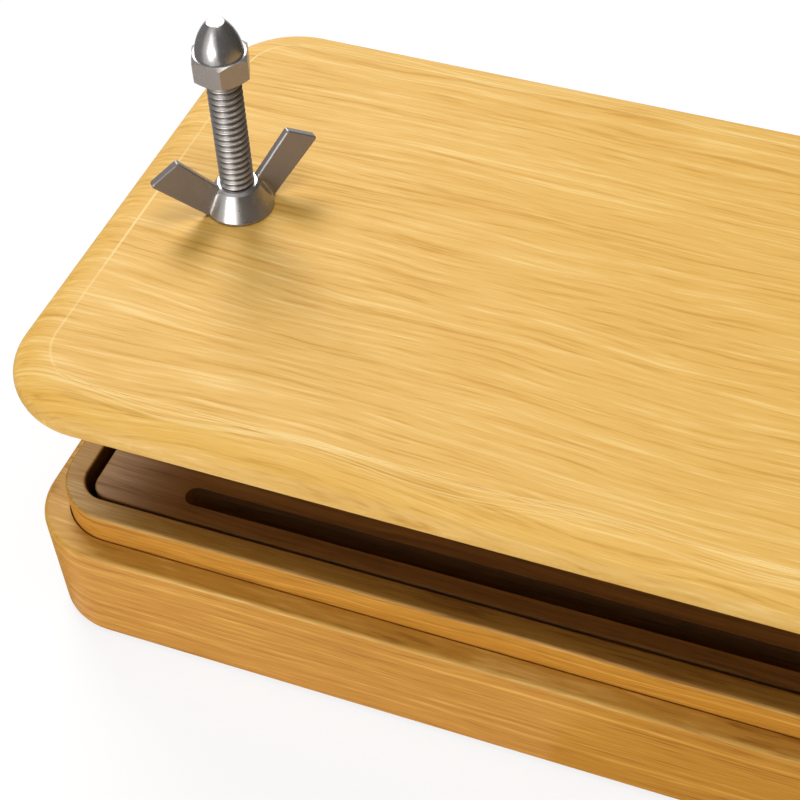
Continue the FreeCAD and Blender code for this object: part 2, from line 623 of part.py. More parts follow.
def edge_profile(body):
    """The waste outside the board's nosing: a long top arc that runs into a tight nose."""
    sketch = new_sketch(body, "EdgeProfile", "YZ_Plane")
    half_width, top, level = size("board_width") / 2, size("board_thickness"), size("edge_level")
    inset, step, nose = size("edge_inset"), size("edge_step"), size("edge_nose_radius")
    drop = top - step - level
    crown = (inset ** 2 + drop ** 2 - 2 * inset * nose) / (2 * (drop - nose))
    meet = angle_of(inset - nose, level - (top - step - crown))
    nose_arc = add_arc(sketch, (half_width - nose, level), nose, 0, meet)
    crown_arc = add_arc(sketch, (half_width - inset, top - step - crown), crown, meet, 90)
    outside, above = half_width + size("waste_margin"), top + size("waste_margin")
    rise = add_line(sketch, (half_width - inset, top - step), (half_width - inset, above))
    lid = add_line(sketch, (half_width - inset, above), (outside, above))
    wall = add_line(sketch, (outside, above), (outside, level))
    shelf = add_line(sketch, (outside, level), (half_width, level))
    sketch.addConstraint(Sketcher.Constraint("Tangent", nose_arc, 2, crown_arc, 1))
    for piece, after in ((rise, lid), (lid, wall), (wall, shelf)):
        sketch.addConstraint(Sketcher.Constraint("Coincident", piece, 2, after, 1))
    sketch.addConstraint(Sketcher.Constraint("Coincident", crown_arc, 2, rise, 1))
    sketch.addConstraint(Sketcher.Constraint("Coincident", shelf, 2, nose_arc, 1))
    for upright in (rise, wall):
        sketch.addConstraint(Sketcher.Constraint("Vertical", upright))
    for level_line in (lid, shelf):
        sketch.addConstraint(Sketcher.Constraint("Horizontal", level_line))
    sketch.addConstraint(Sketcher.Constraint("Horizontal", nose_arc, 3, nose_arc, 1))
    sketch.addConstraint(Sketcher.Constraint("Vertical", crown_arc, 3, crown_arc, 2))
    edge_place, board_top = f"{D}board_width / 2", f"{D}board_thickness"
    drive(sketch, "nose", Sketcher.Constraint("Radius", nose_arc, nose), f"{D}edge_nose_radius")
    drive(sketch, "edge", Sketcher.Constraint("DistanceX", -1, 1, shelf, 2, half_width), edge_place)
    drive(sketch, "level", Sketcher.Constraint("DistanceY", -1, 1, shelf, 2, level), f"{D}edge_level")
    drive(sketch, "inset", Sketcher.Constraint("DistanceX", rise, 1, shelf, 2, inset), f"{D}edge_inset")
    drive(sketch, "crease", Sketcher.Constraint("DistanceY", -1, 1, rise, 1, top - step),
          f"{board_top} - {D}edge_step")
    drive(sketch, "above", Sketcher.Constraint("DistanceY", -1, 1, lid, 1, above),
          f"{board_top} + {D}waste_margin")
    drive(sketch, "outside", Sketcher.Constraint("DistanceX", -1, 1, lid, 2, outside),
          f"{edge_place} + {D}waste_margin")
    return sketch


def make_press_board():
    body = new_body("press_board", z=BOARD_LEVEL)
    plan = (f"{D}board_length", f"{D}board_width", f"{D}board_corner")
    thickness = f"{D}board_thickness"
    block = pad(body, rounded_rectangle(body, "BoardOutline", *plan), thickness, "BoardBlock")
    dress(body, "Fillet", block, flat_at(0), f"{D}under_edge_radius", "UnderEdge")
    path = rounded_rectangle(body, "EdgePath", *plan)
    profile = edge_profile(body)
    doc.recompute()
    nosing = body.newObject("PartDesign::SubtractivePipe", "Nosing")
    nosing.Profile = profile
    nosing.Spine = (path, [f"Edge{index}" for index in range(1, 9)])
    nosing.Transition = "Transformed"
    body.Tip = nosing
    holes = bore_for_bolts(body, thickness, f"{D}board_hole")
    hole_rim = lambda box: near(box.ZLength, 0) and near(box.XLength, size("board_hole"))
    body.Tip = dress(body, "Chamfer", holes, hole_rim, f"{D}board_hole_chamfer", "HoleChamfers")


# ---------------------------------------------------------------- build, check and write

def check_document():
    for item in doc.Objects:
        if "Invalid" in item.State or "Error" in item.State:
            raise RuntimeError(f"{item.Name} failed: {item.State} {item.getStatusString()}")
    for body in pieces:
        shape = body.Shape
        if shape.isNull() or not shape.isValid() or len(shape.Solids) != 1:
            raise RuntimeError(f"{body.Label} is not one valid solid")


def write_parts():
    os.makedirs("parts", exist_ok=True)
    for body in pieces:
        body.Shape.exportStep(f"parts/{body.Label}.step")


sheet = make_sheet()
make_base_tray()
make_rim_frame()
make_feet()
make_drain_board()
make_cross_rails()
make_hardware()
make_press_board()
doc.recompute()
check_document()
write_parts()
for body in pieces:
    print(f"{body.Label:26s} volume {body.Shape.Volume:10.1f} mm3  z {body.Shape.BoundBox.ZMin:7.2f} to "
          f"{body.Shape.BoundBox.ZMax:7.2f}")
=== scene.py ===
from math import cos, pi, radians, sin, tau

import bmesh
import bpy
from bpy.props import FloatProperty, FloatVectorProperty, PointerProperty
from mathutils import Matrix, Vector


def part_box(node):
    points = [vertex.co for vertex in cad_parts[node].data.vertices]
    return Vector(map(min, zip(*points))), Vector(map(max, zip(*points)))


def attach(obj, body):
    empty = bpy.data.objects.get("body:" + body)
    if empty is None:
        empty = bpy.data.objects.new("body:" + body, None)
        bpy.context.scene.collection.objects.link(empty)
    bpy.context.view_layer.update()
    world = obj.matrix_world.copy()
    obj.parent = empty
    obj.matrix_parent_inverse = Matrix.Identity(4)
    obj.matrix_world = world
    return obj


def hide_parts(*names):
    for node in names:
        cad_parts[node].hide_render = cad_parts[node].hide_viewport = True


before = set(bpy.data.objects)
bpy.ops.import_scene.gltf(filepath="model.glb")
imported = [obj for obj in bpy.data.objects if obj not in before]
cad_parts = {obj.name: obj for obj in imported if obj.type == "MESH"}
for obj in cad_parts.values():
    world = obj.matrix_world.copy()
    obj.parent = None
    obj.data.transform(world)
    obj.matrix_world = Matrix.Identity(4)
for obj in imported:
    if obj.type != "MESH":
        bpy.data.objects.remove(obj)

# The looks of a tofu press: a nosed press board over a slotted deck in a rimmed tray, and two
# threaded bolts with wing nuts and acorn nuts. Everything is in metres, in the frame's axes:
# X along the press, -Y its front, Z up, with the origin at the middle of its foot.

bl_info = {
    "name": "Tofu Press",
    "version": (1, 0, 0),
    "blender": (4, 5, 0),
    "location": "3D View > Sidebar > Tofu Press",
    "description": "Finishes the woods, bolts, nuts and feet of a tofu press, and lights it",
    "category": "Object",
}

MM = 0.001
SIDES = ("left", "right")
HUB_TAPER = 0.425              # how much a wing nut's cone narrows with each metre of height

# Wood: how many features of a pattern lie in a metre along the fibres, across them and up.
SLOW_WAVE, QUICK_WAVE = (5.0, 14.0, 9.0), (20.0, 60.0, 40.0)
STREAKS, FIBRES = (30.0, 820.0, 820.0), (110.0, 2600.0, 2600.0)
PATCHES = (9.0, 40.0, 40.0)
NOISE_SPREAD = 4.0             # noise keeps to about a quarter of its range
# Its tone is a sum of patterns, and three tones have a colour of their own.
FIBRE_SHARE, PATCH_SHARE = 0.18, 0.14
DARK_TONE, MIDDLE_TONE, LIGHT_TONE = 0.37, 0.50, 0.64
# Tones between which the roughness goes from its first to its second value.
ROUGH_TONES, WOOD_ROUGHNESS = (0.35, 0.65), (0.60, 0.48)
WOOD_GLOSS = 0.3
# Painted light on upward faces, as factors for red, green and blue: a paler, greyer painted sheen
# on the ledge's top, and a darker, greyer painted shade on the rim's top.
LEDGE_TOP_SHEEN, RIM_TOP_SHADE = (0.92, 1.13, 1.85), (0.66, 0.78, 1.30)
UPWARD = (0.2, 0.7)            # a face's slope, from where the painted light starts to where it is full

# The painted highlight along the crease: where its strength falls away, in shares of its width,
# and how much is left of it in its faintest and clearest stretches.
LINE_EDGE = (0.3, 0.6)
HIGHLIGHT_STRETCHES, HIGHLIGHT_LEFT = (24.0, 24.0, 24.0), (0.35, 0.90)
# The wavy band of pale fibres: waves in radians a metre, their height, and where it lies
# across the board's long edge, from its start to its full strength and down to its end.
BAND_WAVES, BAND_SWING = 88.0, 1.2 * MM
BAND_RISE, BAND_FALL = (-2.5 * MM, 0.5 * MM), (2.0 * MM, 5.5 * MM)
BAND_STRENGTH = 0.55
PALE_FIBRES, PALE_LEVELS = (20.0, 1500.0, 1.0), (0.46, 0.60)
# The painted shade on the recess's wall: how far past the wall it fades, and its strength.
RECESS_SHADE_EDGE, RECESS_SHADE_STRENGTH = (0.08 * MM, 0.6 * MM), 0.92

# Steel: features in a metre of its clouds, specks and turning lines. The clouds darken it and
# make it rougher. Turned steel gives way to the other just outside its cone.
CLOUDS, SPECKS = (160.0, 160.0, 160.0), (4200.0, 4200.0, 4200.0)
TURNING_LINES = (60.0, 60.0, 5200.0)
CLOUD_LEVELS, CLOUD_SHADE, CLOUD_ROUGHNESS = (0.3, 0.7), 0.18, 0.08
CLOUD_VALUE = 0.80
CONE_EDGE = (1.0, 1.05)

# Rubber: features in a metre of its pebbled skin and of its dust, which is paler.
PEBBLES, DUST = (1900.0, 1900.0, 1900.0), (240.0, 240.0, 240.0)
DUST_VALUE = 1.9

# Height of each finish's relief, in millimetres.
WOOD_RELIEF, STEEL_RELIEF, RUBBER_RELIEF = 0.02, 0.0015, 0.03

# A thread's section: how far up its pitch each point lies, and how far out of its depth.
THREAD_SECTION = ((0.00, 0.0), (0.10, 0.0), (0.38, 0.82), (0.46, 1.0), (0.56, 1.0), (0.64, 0.82),
                  (0.92, 0.0), (1.00, 0.0))
ROOT_SHADE_SHARE = 0.85              # share of the thread's depth over which its steel gets painted shade
THREAD_RUN_IN = 0.5 * MM       # how far the thread starts inside the bolt's head
CREST_CLEARANCE = 0.01 * MM    # keeps the crests inside the nuts' bores
THREAD_STEPS = 36              # steps in a turn
SPARE_TURNS = 2                # turns beyond each end, which are cut away
SMOOTH_ANGLE = 40              # degrees, below which two faces of a thread are one surface

# Lamps: name, place, width and height in metres. All face the middle of the press.
PRESS_MIDDLE = Vector((0, 0, 60 * MM))
LAMPS = (
    ("key_lamp", (-1.02, 1.20, 1.88), 1.05, 1.05),
    ("top_lamp", (0.30, -0.20, 1.55), 0.70, 0.70),
    ("fill_lamp", (-0.42, -2.15, 0.20), 1.30, 0.36),
)
# Cards that only gloss sees, which paint reflections: dark cards give painted dark reflections,
# and the bright card a painted highlight, glowing though it is no lamp. Their columns: name, first
# and last angle in degrees from +X, brightness, how near the press the foot on the floor starts,
# and height, both in metres.
CARDS = (
    ("card_right", -82, 100, 0.015, 0.05, 0.90),
    ("card_left", 150, 211, 0.18, 0.05, 0.90),
    ("card_bright", 238, 258, 5.0, 0.549, 0.50),
)
CARD_RADIUS = 0.55
CARD_STEPS = 24
FLOOR_RADIUS = 4.0
FLOOR_GLOW = 1.08              # just over white, where the floor is seen or mirrored
WHITE_NEAR, WHITE_FAR = (0.35, 0.78), (1.4, 0.97)   # distance in metres, share of the glow

# Camera: its place, how it is turned in degrees, its focal length in frame pixels, and the
# pixel at which its axis meets the frame.
CAMERA_PLACE = (60.3 * MM, -289.9 * MM, 371.9 * MM)
CAMERA_AZIMUTH, CAMERA_ELEVATION, CAMERA_ROLL = 19.16, 49.25, -0.28
FOCAL_PIXELS, FRAME_PIXELS = 1594, 800
AXIS_RIGHT, AXIS_DOWN = 460, 450
SENSOR_WIDTH = 36              # millimetres


# ---------------------------------------------------------------- settings

def colour(name, description, default):
    """A colour property, in linear red, green and blue."""
    return FloatVectorProperty(
        name=name, description=description, default=default, subtype="COLOR", min=0, max=1)


def share(name, description, default):
    """A property between nought and one."""
    return FloatProperty(name=name, description=description, default=default, min=0, max=1)


def length(name, description, millimetres):
    """A length property, whose default is given in millimetres."""
    return FloatProperty(
        name=name, description=description, default=millimetres * MM, unit="LENGTH",
        min=0, precision=5)


class BoardProperties(bpy.types.PropertyGroup):
    """The pale wood of the press board."""
    light: colour("Light Streak", "Early wood, between the rings", (0.93, 0.620, 0.200))
    middle: colour("Body", "The wood's general colour", (0.825, 0.480, 0.106))
    dark: colour("Dark Streak", "Late wood, at the rings", (0.66, 0.342, 0.050))
    ring_width: length("Ring Width", "Usual distance between two rings", 5.0)
    wander: length("Ring Wander", "How far a ring strays from a straight line", 6.0)
    ring_share: share("Ring Share", "How much of the figure is rings, not streaks", 0.22)
    corner: length("Corner Radius", "Radius of the board's corners, seen from above", 24.1)
    crease_inset: length("Crease Inset", "From the board's outline in to its crease", 10.2)
    crease_width: length("Crease Width", "Width of the pale line along the crease", 0.8)
    highlight_and_fibres: colour("Crease Highlight and Fibres", "Painted highlight on the crease, and pale fibres beside it", (0.96, 0.71, 0.29))


class TrayProperties(bpy.types.PropertyGroup):
    """The warm wood of the base tray and its rim."""
    light: colour("Light Streak", "Early wood, between the rings", (0.860, 0.450, 0.078))
    middle: colour("Body", "The wood's general colour", (0.650, 0.285, 0.026))
    dark: colour("Dark Streak", "Late wood, at the rings", (0.390, 0.135, 0.007))
    ring_width: length("Ring Width", "Usual distance between two rings", 3.2)
    wander: length("Ring Wander", "How far a ring strays from a straight line", 2.6)
    ring_share: share("Ring Share", "How much of the figure is rings, not streaks", 0.36)
    rim_wall: length("Rim Wall", "Thickness of the rim round its recess", 6.4)
    recess_corner: length("Recess Corner", "Radius of the recess's corners", 7.5)
    wall_shade: colour("Recess Wall Shade", "Painted shade on the recess's wall", (0.040, 0.018, 0.006))


class DeckProperties(bpy.types.PropertyGroup):
    """The wood of the drain board and its rails, darker than the tray's: painted shade for the
    shadow under the press board.
    """
    light: colour("Light Streak", "Early wood, between the rings", (0.480, 0.275, 0.098))
    middle: colour("Body", "The wood's general colour", (0.370, 0.195, 0.061))
    dark: colour("Dark Streak", "Late wood, at the rings", (0.250, 0.120, 0.033))
    ring_width: length("Ring Width", "Usual distance between two rings", 4.0)
    wander: length("Ring Wander", "How far a ring strays from a straight line", 4.0)
    ring_share: share("Ring Share", "How much of the figure is rings, not streaks", 0.30)


class HardwareProperties(bpy.types.PropertyGroup):
    """The turned steel parts and the rubber feet."""
    steel: colour("Turned Steel", "Satin stainless steel", (0.360, 0.345, 0.335))
    cast: colour("Cast Steel", "The duller steel of the wings", (0.235, 0.212, 0.205))
    milled: colour("Milled Steel", "The flats of the nuts", (0.340, 0.310, 0.290))
    crest: colour("Thread Crest", "Painted highlight on the thread's tops", (0.420, 0.395, 0.375))
    root: colour("Thread Root", "Painted shade in the thread's roots", (0.150, 0.138, 0.128))
    hub_radius: length("Hub Radius", "Radius of a wing nut's cone, carried down to its foot", 9.48)
    dome_radius: length("Dome Radius", "Radius inside which an acorn nut is turned", 6.45)
    rubber: colour("Rubber", "The moulded feet", (0.032, 0.031, 0.030))
    thread_diameter: length("Thread Diameter", "Across the thread's crests", 9.0)
    thread_pitch: length("Thread Pitch", "Rise of the bolt's thread in one turn", 1.8)
    thread_depth: length("Thread Depth", "From the thread's crest to its root", 0.75)


class StudioProperties(bpy.types.PropertyGroup):
    """The floor and the lamps."""
    floor: colour("Floor", "Pale studio floor", (0.82, 0.82, 0.82))
    key_power: FloatProperty(
        name="Key Lamp", description="Power of the lamp behind and left of the press",
        default=39.0, unit="POWER", min=0)
    top_power: FloatProperty(
        name="Top Lamp", description="Power of the soft lamp overhead",
        default=9.5, unit="POWER", min=0)
    fill_power: FloatProperty(
        name="Fill Lamp", description="Power of the low, wide lamp in front of the press",
        default=22.0, unit="POWER", min=0)
    sky: FloatProperty(
        name="Sky", description="Strength of the even light from all round",
        default=0.07, min=0)


class PressProperties(bpy.types.PropertyGroup):
    """All settings of the press."""
    board: PointerProperty(type=BoardProperties)
    tray: PointerProperty(type=TrayProperties)
    deck: PointerProperty(type=DeckProperties)
    hardware: PointerProperty(type=HardwareProperties)
    studio: PointerProperty(type=StudioProperties)


# ---------------------------------------------------------------- node trees

def add_node(tree, kind, inputs=None, **settings):
    """Adds a shader node. Its inputs take a plain value or another node's socket."""
    made = tree.nodes.new(kind)
    for name, value in settings.items():
        setattr(made, name, value)
    for name, value in (inputs or {}).items():
        if isinstance(value, bpy.types.NodeSocket):
            tree.links.new(value, made.inputs[name])
        else:
            made.inputs[name].default_value = value
    return made


def maths(tree, operation, *values):
    """A Math node's result."""
    node = add_node(tree, "ShaderNodeMath", dict(enumerate(values)), operation=operation)
    return node.outputs[0]


def vector_maths(tree, operation, *values):
    """A Vector Math node's result."""
    node = add_node(tree, "ShaderNodeVectorMath", dict(enumerate(values)), operation=operation)
    return node.outputs["Value" if operation == "LENGTH" else "Vector"]


def remap(tree, value, from_low, from_high, to_low=0.0, to_high=1.0):
    """The value on a smooth slope between two levels."""
    inputs = {"Value": value, "From Min": from_low, "From Max": from_high,
              "To Min": to_low, "To Max": to_high}
    return add_node(tree, "ShaderNodeMapRange", inputs,
                    interpolation_type="SMOOTHSTEP").outputs["Result"]


def noise(tree, place, stretch, detail=2.0, roughness=0.5):
    """Noise in three dimensions, whose features are one over stretch metres long on each axis."""
    scaled = vector_maths(tree, "MULTIPLY", place, stretch)
    inputs = {"Vector": scaled, "Scale": 1.0, "Detail": detail, "Roughness": roughness}
    return add_node(tree, "ShaderNodeTexNoise", inputs).outputs["Fac"]


def blend_colours(tree, factor, first, second):
    """The first colour at 0 and the second at 1."""
    inputs = {0: factor, 6: first, 7: second}
    return add_node(tree, "ShaderNodeMix", inputs, data_type="RGBA").outputs[2]


def split_axes(tree, vector):
    """A vector's X, Y and Z."""
    return add_node(tree, "ShaderNodeSeparateXYZ", {0: vector}).outputs


def object_place(tree):
    """Where a point of the surface lies, in the piece's own axes."""
    return add_node(tree, "ShaderNodeTexCoord").outputs["Object"]


def new_group(name, inputs, outputs):
    """An empty node group with named sockets. Returns it with its input and output nodes."""
    tree = bpy.data.node_groups.new(name, "ShaderNodeTree")
    for title, kind in inputs:
        tree.interface.new_socket(title, in_out="INPUT", socket_type=f"NodeSocket{kind}")
    for title, kind in outputs:
        tree.interface.new_socket(title, in_out="OUTPUT", socket_type=f"NodeSocket{kind}")
    start = tree.nodes.new("NodeGroupInput").outputs
    end = tree.nodes.new("NodeGroupOutput").inputs
    return tree, start, end


def wood_grain():
    """Solid wood. X runs along its fibres, and its rings follow one another along Y."""
    tree, start, end = new_group(
        "wood_grain",
        [("Vector", "Vector"), ("Ring Width", "Float"), ("Ring Wander", "Float"),
         ("Ring Share", "Float"), ("Light", "Color"), ("Middle", "Color"), ("Dark", "Color"),
         ("Face", "Vector"), ("Upward Tint", "Vector")],
        [("Color", "Color"), ("Roughness", "Float"), ("Height", "Float")])
    place = start["Vector"]
    slow_wave = noise(tree, place, SLOW_WAVE, detail=1.0)
    quick_wave = noise(tree, place, QUICK_WAVE, detail=1.5)
    drift = maths(tree, "MULTIPLY", maths(tree, "SUBTRACT", slow_wave, 0.5),
                  maths(tree, "MULTIPLY", start["Ring Wander"], NOISE_SPREAD))
    ripple = maths(tree, "MULTIPLY", maths(tree, "SUBTRACT", quick_wave, 0.5),
                   start["Ring Width"])
    axes = split_axes(tree, place)
    across = maths(tree, "ADD", axes["Y"], maths(tree, "ADD", drift, ripple))
    followed = add_node(tree, "ShaderNodeCombineXYZ",
                        {"X": axes["X"], "Y": across, "Z": axes["Z"]}).outputs[0]
    ring_count = maths(tree, "DIVIDE", across, start["Ring Width"])
    bands = add_node(tree, "ShaderNodeTexNoise",
                     {"W": ring_count, "Scale": 1.0, "Detail": 3.0, "Roughness": 0.7},
                     noise_dimensions="1D").outputs["Fac"]
    streaks = noise(tree, followed, STREAKS, detail=4.0, roughness=0.60)
    fibres = noise(tree, followed, FIBRES, detail=1.0)
    patches = noise(tree, place, PATCHES)
    streak_share = maths(tree, "SUBTRACT", 1 - FIBRE_SHARE - PATCH_SHARE, start["Ring Share"])
    coarse = maths(tree, "ADD", maths(tree, "MULTIPLY", bands, start["Ring Share"]),
                   maths(tree, "MULTIPLY", streaks, streak_share))
    fine = maths(tree, "ADD", maths(tree, "MULTIPLY", fibres, FIBRE_SHARE),
                 maths(tree, "MULTIPLY", patches, PATCH_SHARE))
    tone = maths(tree, "ADD", coarse, fine)
    to_middle = remap(tree, tone, DARK_TONE, MIDDLE_TONE)
    to_light = remap(tree, tone, MIDDLE_TONE, LIGHT_TONE)
    lower = blend_colours(tree, to_middle, start["Dark"], start["Middle"])
    fresh = blend_colours(tree, to_light, lower, start["Light"])
    # Upward faces get painted light, tinted by the given factors.
    upward_tint = vector_maths(tree, "MULTIPLY", fresh, start["Upward Tint"])
    upward = remap(tree, split_axes(tree, start["Face"])["Z"], *UPWARD)
    tree.links.new(blend_colours(tree, upward, fresh, upward_tint), end["Color"])
    tree.links.new(remap(tree, tone, *ROUGH_TONES, *WOOD_ROUGHNESS), end["Roughness"])
    tree.links.new(maths(tree, "ADD", fibres, streaks), end["Height"])
    return tree


def satin_metal():
    """Steel that is turned inside a cone about the Z axis, and cast or milled outside it."""
    tree, start, end = new_group(
        "satin_metal",
        [("Vector", "Vector"), ("Turned", "Color"), ("Outer", "Color"), ("Radius", "Float"),
         ("Taper", "Float"), ("Turned Metal", "Float"), ("Outer Metal", "Float"),
         ("Polish", "Float")],
        [("Color", "Color"), ("Metallic", "Float"), ("Roughness", "Float"),
         ("Height", "Float")])
    place = start["Vector"]
    reach = vector_maths(tree, "LENGTH", vector_maths(tree, "MULTIPLY", place, (1, 1, 0)))
    rise = split_axes(tree, place)["Z"]
    cone = maths(tree, "SUBTRACT", start["Radius"], maths(tree, "MULTIPLY", start["Taper"], rise))
    outer = remap(tree, maths(tree, "DIVIDE", reach, cone), *CONE_EDGE)
    clouds = noise(tree, place, CLOUDS, detail=3.0)
    specks = noise(tree, place, SPECKS, detail=1.0)
    lines = noise(tree, place, TURNING_LINES, detail=1.0)
    shade = remap(tree, clouds, *CLOUD_LEVELS, 0.0, CLOUD_SHADE)
    rougher = remap(tree, clouds, *CLOUD_LEVELS, 0.0, CLOUD_ROUGHNESS)
    steel_colour = blend_colours(tree, outer, start["Turned"], start["Outer"])
    darker = add_node(tree, "ShaderNodeHueSaturation",
                      {"Value": CLOUD_VALUE, "Color": steel_colour}).outputs[0]
    tree.links.new(blend_colours(tree, shade, steel_colour, darker), end["Color"])
    tree.links.new(remap(tree, outer, 0.0, 1.0, start["Turned Metal"], start["Outer Metal"]),
                   end["Metallic"])
    tree.links.new(maths(tree, "ADD", start["Polish"], rougher), end["Roughness"])
    tree.links.new(maths(tree, "ADD", specks, lines), end["Height"])
    return tree


def rounded_distance(tree, place, half_size, radius):
    """How far a place is outside a rounded rectangle about the Z axis, and its offset in Y."""
    beyond = vector_maths(tree, "SUBTRACT", vector_maths(tree, "ABSOLUTE", place), half_size)
    outside = vector_maths(tree, "MAXIMUM", beyond, (0, 0, 0))
    reach = vector_maths(tree, "LENGTH", vector_maths(tree, "MULTIPLY", outside, (1, 1, 0)))
    past = split_axes(tree, beyond)["Y"]
    return maths(tree, "SUBTRACT", reach, radius), maths(tree, "SUBTRACT", past, radius)


def crease_line():
    """A pale line of painted highlight round a rectangle about the Z axis, and pale fibres by its
    long sides.
    """
    tree, start, end = new_group(
        "crease_line",
        [("Vector", "Vector"), ("Half Size", "Vector"), ("Radius", "Float"),
         ("Width", "Float"), ("Color", "Color"), ("Highlight and Fibres", "Color")],
        [("Color", "Color")])
    place = start["Vector"]
    distance, past = rounded_distance(tree, place, start["Half Size"], start["Radius"])
    away = maths(tree, "ABSOLUTE", distance)
    on_line = remap(tree, maths(tree, "DIVIDE", away, start["Width"]), *LINE_EDGE, 1.0, 0.0)
    line_highlight = remap(tree, noise(tree, place, HIGHLIGHT_STRETCHES), 0.36, 0.60, *HIGHLIGHT_LEFT)
    axes = split_axes(tree, place)
    turn = maths(tree, "MULTIPLY", axes["X"], BAND_WAVES)
    wave = maths(tree, "MULTIPLY", maths(tree, "SINE", turn), BAND_SWING)
    depth = maths(tree, "ADD", past, wave)
    band = maths(tree, "MULTIPLY", remap(tree, depth, *BAND_RISE),
                 remap(tree, depth, *BAND_FALL, 1.0, 0.0))
    followed = add_node(tree, "ShaderNodeCombineXYZ",
                        {"X": axes["X"], "Y": depth, "Z": 0.0}).outputs[0]
    pale_fibres = remap(tree, noise(tree, followed, PALE_FIBRES), *PALE_LEVELS)
    beside = maths(tree, "MULTIPLY", maths(tree, "MULTIPLY", band, pale_fibres), BAND_STRENGTH)
    pale = maths(tree, "MAXIMUM", maths(tree, "MULTIPLY", on_line, line_highlight), beside)
    tree.links.new(blend_colours(tree, pale, start["Color"], start["Highlight and Fibres"]), end["Color"])
    return tree


def recess_shading():
    """Paints shade: darkens all that lies within a rounded rectangle about the Z axis, up to its
    outline.
    """
    tree, start, end = new_group(
        "recess_shading",
        [("Vector", "Vector"), ("Half Size", "Vector"), ("Radius", "Float"),
         ("Color", "Color"), ("Wall Shade", "Color")],
        [("Color", "Color")])
    distance, _ = rounded_distance(tree, start["Vector"], start["Half Size"], start["Radius"])
    wall_shade = remap(tree, distance, *RECESS_SHADE_EDGE, RECESS_SHADE_STRENGTH, 0.0)
    tree.links.new(blend_colours(tree, wall_shade, start["Color"], start["Wall Shade"]), end["Color"])
    return tree


def rubber_skin():
    """Moulded rubber with a fine, dull skin."""
    tree, start, end = new_group(
        "rubber_skin", [("Vector", "Vector"), ("Color", "Color")],
        [("Color", "Color"), ("Roughness", "Float"), ("Height", "Float")])
    pebbles = noise(tree, start["Vector"], PEBBLES)
    dust = noise(tree, start["Vector"], DUST, detail=3.0)
    dusty = add_node(tree, "ShaderNodeHueSaturation",
                     {"Value": DUST_VALUE, "Color": start["Color"]}).outputs[0]
    tree.links.new(blend_colours(tree, remap(tree, dust, 0.45, 0.8), start["Color"], dusty),
                   end["Color"])
    tree.links.new(remap(tree, dust, 0.3, 0.7, 0.62, 0.78), end["Roughness"])
    tree.links.new(pebbles, end["Height"])
    return tree


def finish_material(name, group, values, relief, centre=(0, 0, 0), turn=(0, 0, 0),
                    squeeze=(1, 1, 1), gloss=0.5):
    """A material whose colour, roughness and relief come from a node group on Object places."""
    material = bpy.data.materials.new(name)
    material.use_nodes = True
    tree = material.node_tree
    shader = tree.nodes["Principled BSDF"]
    moved = add_node(tree, "ShaderNodeMapping",
                     {"Vector": object_place(tree), "Location": centre, "Rotation": turn,
                      "Scale": squeeze})
    pattern = add_node(tree, "ShaderNodeGroup", node_tree=group)
    tree.links.new(moved.outputs[0], pattern.inputs["Vector"])
    for title, value in values.items():
        pattern.inputs[title].default_value = value
    bump = add_node(tree, "ShaderNodeBump",
                    {"Height": pattern.outputs["Height"], "Strength": 1.0,
                     "Distance": relief * MM})
    tree.links.new(pattern.outputs["Color"], shader.inputs["Base Color"])
    tree.links.new(pattern.outputs["Roughness"], shader.inputs["Roughness"])
    tree.links.new(bump.outputs[0], shader.inputs["Normal"])
    if "Metallic" in pattern.outputs:
        tree.links.new(pattern.outputs["Metallic"], shader.inputs["Metallic"])
    shader.inputs["Specular IOR Level"].default_value = gloss
    return material


def group_named(name, make):
    """The node group of that name, made the first time it is asked for."""
    return bpy.data.node_groups.get(name) or make()


def wood(name, settings, centre=(0, 0, 0), turn=(0, 0, 0), squeeze=(1, 1, 1)):
    """A wood with the settings' colours. Centre and turn place the tree's heart."""
    values = {"Ring Width": settings.ring_width, "Ring Wander": settings.wander,
              "Ring Share": settings.ring_share, "Light": (*settings.light, 1),
              "Middle": (*settings.middle, 1), "Dark": (*settings.dark, 1)}
    return finish_material(name, group_named("wood_grain", wood_grain), values,
                           centre=centre, turn=turn, squeeze=squeeze, relief=WOOD_RELIEF,
                           gloss=WOOD_GLOSS)


def paint_upward_light(material, top_tint):
    """Paints light on a wood's upward faces, by factors for red, green and blue."""
    tree = material.node_tree
    pattern = next(node for node in tree.nodes if node.bl_idname == "ShaderNodeGroup")
    face = add_node(tree, "ShaderNodeTexCoord").outputs["Normal"]
    tree.links.new(face, pattern.inputs["Face"])
    pattern.inputs["Upward Tint"].default_value = top_tint


def steel(name, centre, inner, outer, radius=1.0, taper=0.0, turned_metal=0.72,
          outer_metal=0.4, polish=0.22):
    """Satin steel, with one colour inside a cone about the axis and another outside it."""
    values = {"Turned": (*inner, 1), "Outer": (*outer, 1), "Radius": radius,
              "Taper": taper, "Turned Metal": turned_metal, "Outer Metal": outer_metal,
              "Polish": polish}
    return finish_material(name, group_named("satin_metal", satin_metal), values,
                           centre=[-c for c in centre], relief=STEEL_RELIEF)


def add_outline(material, group, half_size, radius, values):
    """Puts a group that follows a rounded rectangle between a material's pattern and shader."""
    tree = material.node_tree
    colour_in = tree.nodes["Principled BSDF"].inputs["Base Color"]
    added = add_node(tree, "ShaderNodeGroup", node_tree=group)
    tree.links.new(object_place(tree), added.inputs["Vector"])
    tree.links.new(colour_in.links[0].from_socket, added.inputs["Color"])
    tree.links.new(added.outputs["Color"], colour_in)
    for title, value in {"Half Size": half_size, "Radius": radius, **values}.items():
        added.inputs[title].default_value = value


def dress(name, material):
    """Gives a CAD node its material in every slot."""
    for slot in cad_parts[name].material_slots:
        slot.material = material


# ---------------------------------------------------------------- mesh helpers

